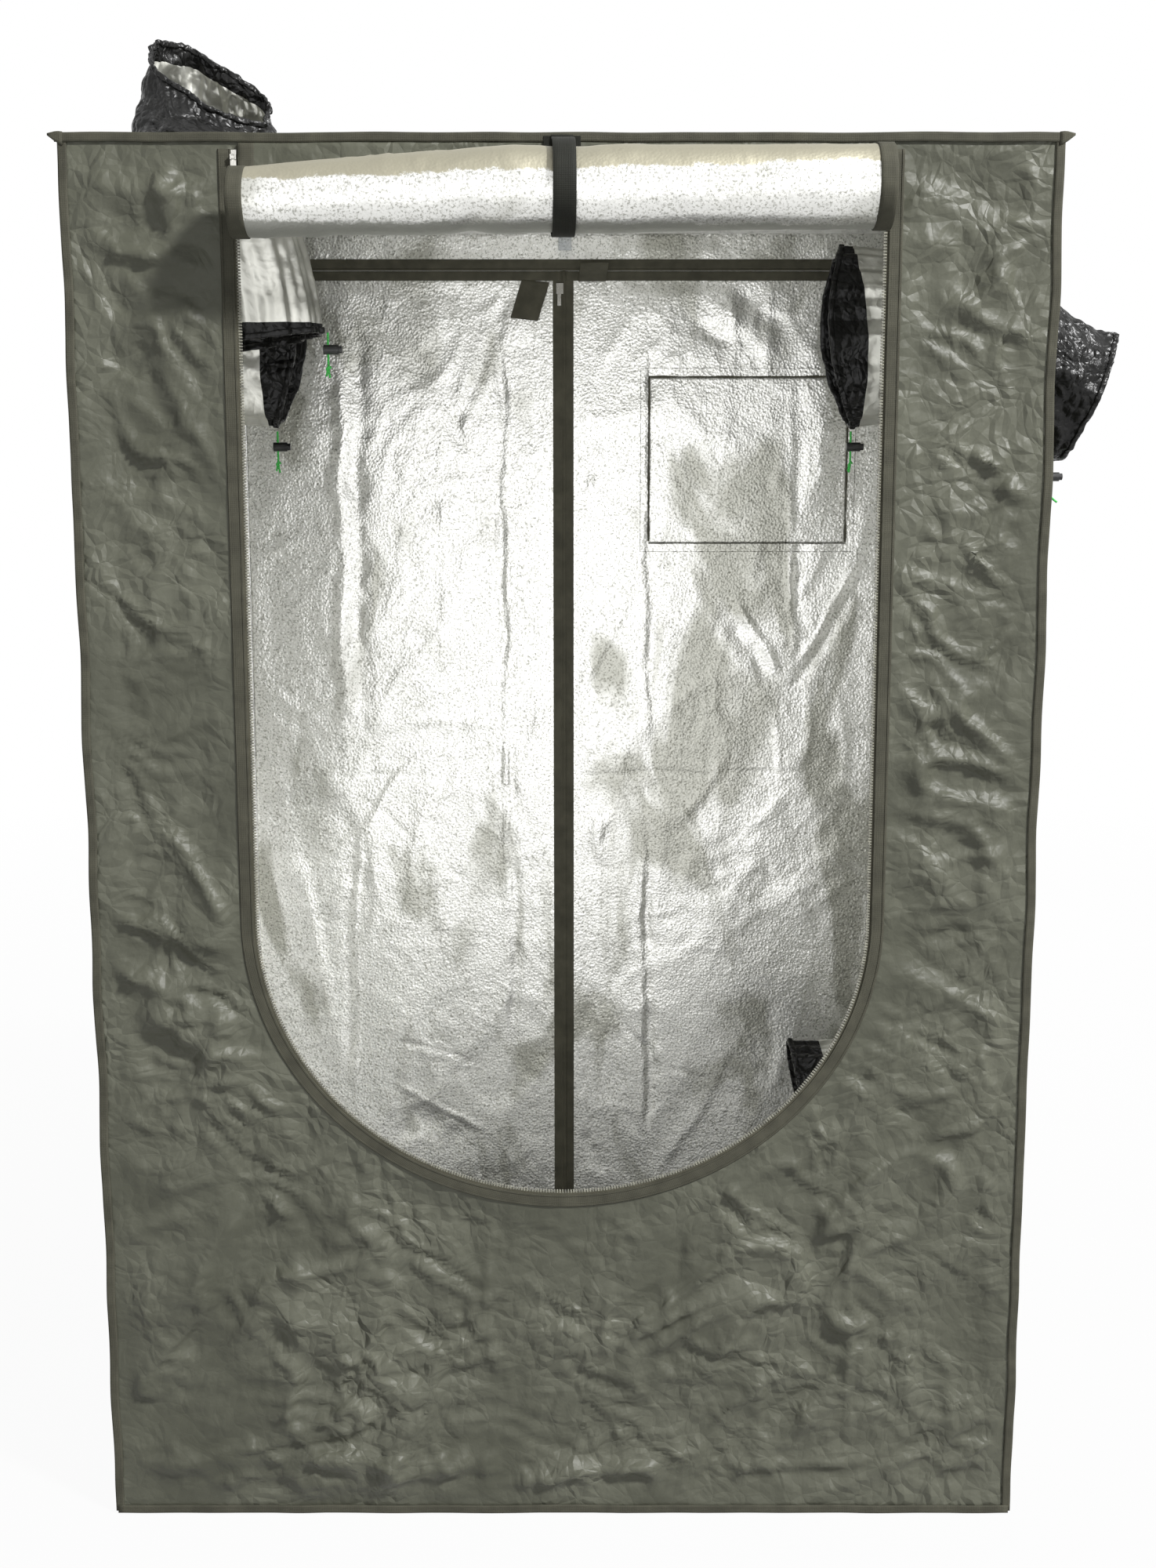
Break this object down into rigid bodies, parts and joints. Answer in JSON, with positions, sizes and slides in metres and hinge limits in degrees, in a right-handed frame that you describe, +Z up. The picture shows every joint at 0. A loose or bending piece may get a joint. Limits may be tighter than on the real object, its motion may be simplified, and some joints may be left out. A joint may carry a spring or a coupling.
{
  "type": "indoor grow tent",
  "caption": "Free-standing indoor grow tent: tube frame, reflective lining, front door rolled up, rear zip doors and drawcord duct sleeves.",
  "frame": {"origin": "centre of the floor's underside", "axes": "+Z up, +X to the right of someone who looks in at the front door, +Y into the tent"},
  "size_m": [1.3852, 0.7095, 1.9401],
  "materials": {
    "olive_cloth": "olive-grey coated nylon, plain weave, soft sheen",
    "silver_cloth": "embossed metallised film on nylon, bright and crinkled",
    "black_cloth": "black coated nylon, crinkled",
    "dark_webbing": "black-olive webbing and zip tape",
    "lacquered_steel": "white lacquered steel tube",
    "moulded_black": "moulded black plastic",
    "zip_metal": "bright plated die-cast zip slider",
    "green_cord": "bright green braided cord"
  },
  "bodies": {
    "tent": {"corner_front_left_bottom": "moulded_black", "corner_front_right_bottom": "moulded_black", "corner_rear_left_bottom": "moulded_black", "corner_rear_right_bottom": "moulded_black", "corner_front_left_top": "moulded_black", "corner_front_right_top": "moulded_black", "corner_rear_left_top": "moulded_black", "corner_rear_right_top": "moulded_black", "upright_front_left": "lacquered_steel", "upright_front_right": "lacquered_steel", "upright_rear_left": "lacquered_steel", "upright_rear_right": "lacquered_steel", "long_pole_front_bottom": "lacquered_steel", "long_pole_front_top": "lacquered_steel", "long_pole_rear_bottom": "lacquered_steel", "long_pole_rear_top": "lacquered_steel", "short_pole_left_bottom": "lacquered_steel", "short_pole_left_top": "lacquered_steel", "short_pole_right_bottom": "lacquered_steel", "short_pole_right_top": "lacquered_steel", "floor_panel": "black_cloth", "front_panel": "olive_cloth", "left_wall": "olive_cloth", "right_wall": "olive_cloth", "roof_panel": "olive_cloth", "rear_wall": "silver_cloth", "front_door_roll": "silver_cloth", "front_roll_strap": "dark_webbing", "roof_sleeve_outer": "black_cloth", "roof_sleeve_inner": "silver_cloth", "left_sleeve_inner": "silver_cloth", "right_sleeve_inner": "silver_cloth", "right_sleeve_outer": "black_cloth", "low_sleeve_inner": "silver_cloth", "roof_cord": "green_cord", "left_cord": "green_cord", "right_cord": "green_cord", "outer_cord": "green_cord"},
    "hanging_bar_left": {"hanging_bar_left": "lacquered_steel"},
    "hanging_bar_right": {"hanging_bar_right": "lacquered_steel"},
    "front_slider_left": {"front_slider_left": "zip_metal"},
    "front_slider_right": {"front_slider_right": "zip_metal"},
    "front_pull_left": {"front_pull_left": "zip_metal"},
    "front_pull_right": {"front_pull_right": "zip_metal"},
    "rear_door_left": {"rear_door_left": "silver_cloth", "rear_zip_left": "dark_webbing"},
    "rear_door_right": {"rear_door_right": "silver_cloth", "rear_zip_right": "dark_webbing"},
    "rear_window_flap": {"rear_window_flap": "silver_cloth"},
    "rear_tie_left": {"rear_tie_left": "dark_webbing"},
    "rear_tie_right": {"rear_tie_right": "dark_webbing"},
    "rear_slider": {"rear_slider": "zip_metal"},
    "roof_lock": {"roof_lock": "moulded_black"},
    "roof_button": {"roof_button": "moulded_black"},
    "left_lock": {"left_lock": "moulded_black"},
    "left_button": {"left_button": "moulded_black"},
    "right_lock": {"right_lock": "moulded_black"},
    "right_button": {"right_button": "moulded_black"},
    "outer_lock": {"outer_lock": "moulded_black"},
    "outer_button": {"outer_button": "moulded_black"}
  },
  "joints": [
    {"name": "hanging_bar_left_slide", "type": "slide", "parent": "tent", "child": "hanging_bar_left", "axis": [1, 0, 0], "range_m": [-0.13, 0.17]},
    {"name": "hanging_bar_right_slide", "type": "slide", "parent": "tent", "child": "hanging_bar_right", "axis": [1, 0, 0], "range_m": [-0.17, 0.33]},
    {"name": "rear_door_left_hinge", "type": "hinge", "parent": "tent", "child": "rear_door_left", "pos_m": [-0.5, 0.3003, 0.9], "axis": [0, 0, 1], "range_deg": [0, 150]},
    {"name": "rear_door_right_hinge", "type": "hinge", "parent": "tent", "child": "rear_door_right", "pos_m": [0.5, 0.3003, 0.9], "axis": [0, 0, -1], "range_deg": [0, 150]},
    {"name": "rear_window_hinge", "type": "hinge", "parent": "rear_door_right", "child": "rear_window_flap", "pos_m": [0.2865, 0.2967, 1.289], "axis": [1, 0, 0], "range_deg": [0, 45]},
    {"name": "rear_tie_left_hinge", "type": "hinge", "parent": "rear_door_left", "child": "rear_tie_left", "pos_m": [-0.0455, 0.2967, 1.6907], "axis": [-1, 0, 0], "range_deg": [0, 170]},
    {"name": "rear_tie_right_hinge", "type": "hinge", "parent": "rear_door_right", "child": "rear_tie_right", "pos_m": [0.0415, 0.2967, 1.6907], "axis": [-1, 0, 0], "range_deg": [-110, 60]},
    {"name": "rear_slider_slide", "type": "slide", "parent": "rear_door_left", "child": "rear_slider", "axis": [0, 0, -1], "range_m": [0, 1.48]},
    {"name": "front_slider_left_slide", "type": "slide", "parent": "tent", "child": "front_slider_left", "axis": [0, 0, -1], "range_m": [0, 0.92]},
    {"name": "front_pull_left_hinge", "type": "hinge", "parent": "front_slider_left", "child": "front_pull_left", "pos_m": [-0.392, -0.30535, 1.754], "axis": [-1, 0, 0], "range_deg": [0, 150]},
    {"name": "front_slider_right_slide", "type": "slide", "parent": "tent", "child": "front_slider_right", "axis": [0, 0, -1], "range_m": [0, 0.92]},
    {"name": "front_pull_right_hinge", "type": "hinge", "parent": "front_slider_right", "child": "front_pull_right", "pos_m": [0.392, -0.30535, 1.754], "axis": [-1, 0, 0], "range_deg": [0, 150]},
    {"name": "roof_lock_slide", "type": "slide", "parent": "tent", "child": "roof_lock", "axis": [0, 0, -1], "range_m": [-0.012, 0.012]},
    {"name": "roof_button_press", "type": "slide", "parent": "roof_lock", "child": "roof_button", "axis": [-1, 0, 0], "range_m": [0, 0.003], "stiffness_N_per_m": 300},
    {"name": "left_lock_slide", "type": "slide", "parent": "tent", "child": "left_lock", "axis": [0, 0, -1], "range_m": [-0.012, 0.012]},
    {"name": "left_button_press", "type": "slide", "parent": "left_lock", "child": "left_button", "axis": [-1, 0, 0], "range_m": [0, 0.003], "stiffness_N_per_m": 300},
    {"name": "right_lock_slide", "type": "slide", "parent": "tent", "child": "right_lock", "axis": [0, 0, -1], "range_m": [-0.012, 0.012]},
    {"name": "right_button_press", "type": "slide", "parent": "right_lock", "child": "right_button", "axis": [-1, 0, 0], "range_m": [0, 0.003], "stiffness_N_per_m": 300},
    {"name": "outer_lock_slide", "type": "slide", "parent": "tent", "child": "outer_lock", "axis": [0, 0, -1], "range_m": [-0.012, 0.012]},
    {"name": "outer_button_press", "type": "slide", "parent": "outer_lock", "child": "outer_button", "axis": [-1, 0, 0], "range_m": [0, 0.003], "stiffness_N_per_m": 300}
  ]
}
